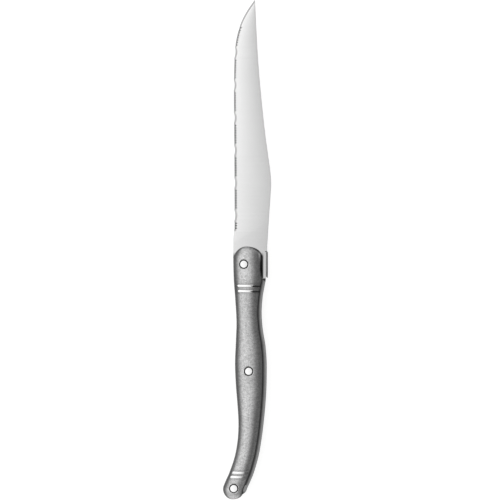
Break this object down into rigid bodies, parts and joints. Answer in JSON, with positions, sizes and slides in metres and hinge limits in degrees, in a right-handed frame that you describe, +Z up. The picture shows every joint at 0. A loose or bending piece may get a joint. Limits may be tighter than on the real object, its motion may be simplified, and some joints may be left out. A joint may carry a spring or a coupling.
{
  "type": "steak knife",
  "caption": "Table steak knife with a humped, finely toothed blade riveted between two domed metal handle halves, with a proud back spring and a fly plate.",
  "frame": {"origin": "middle of the knife's outline, on the surface that the knife lies flat on", "axes": "+Y along the knife towards the tip, +X from the cutting edge to the spine, +Z up through the thickness"},
  "size_m": [0.0222, 0.2299, 0.0098],
  "materials": {
    "blade_steel": "fine satin, nearly polished",
    "tumbled_steel": "tumbled, matt and finely speckled",
    "spring_steel": "tumbled matt",
    "polished_steel": "polished"
  },
  "bodies": {
    "root": {"blade": "blade_steel", "fly_plate": "polished_steel", "back_spring": "spring_steel", "front_scale": "tumbled_steel", "rear_scale": "tumbled_steel", "front_rivet": "polished_steel", "middle_rivet": "polished_steel", "butt_rivet": "polished_steel"}
  },
  "joints": []
}
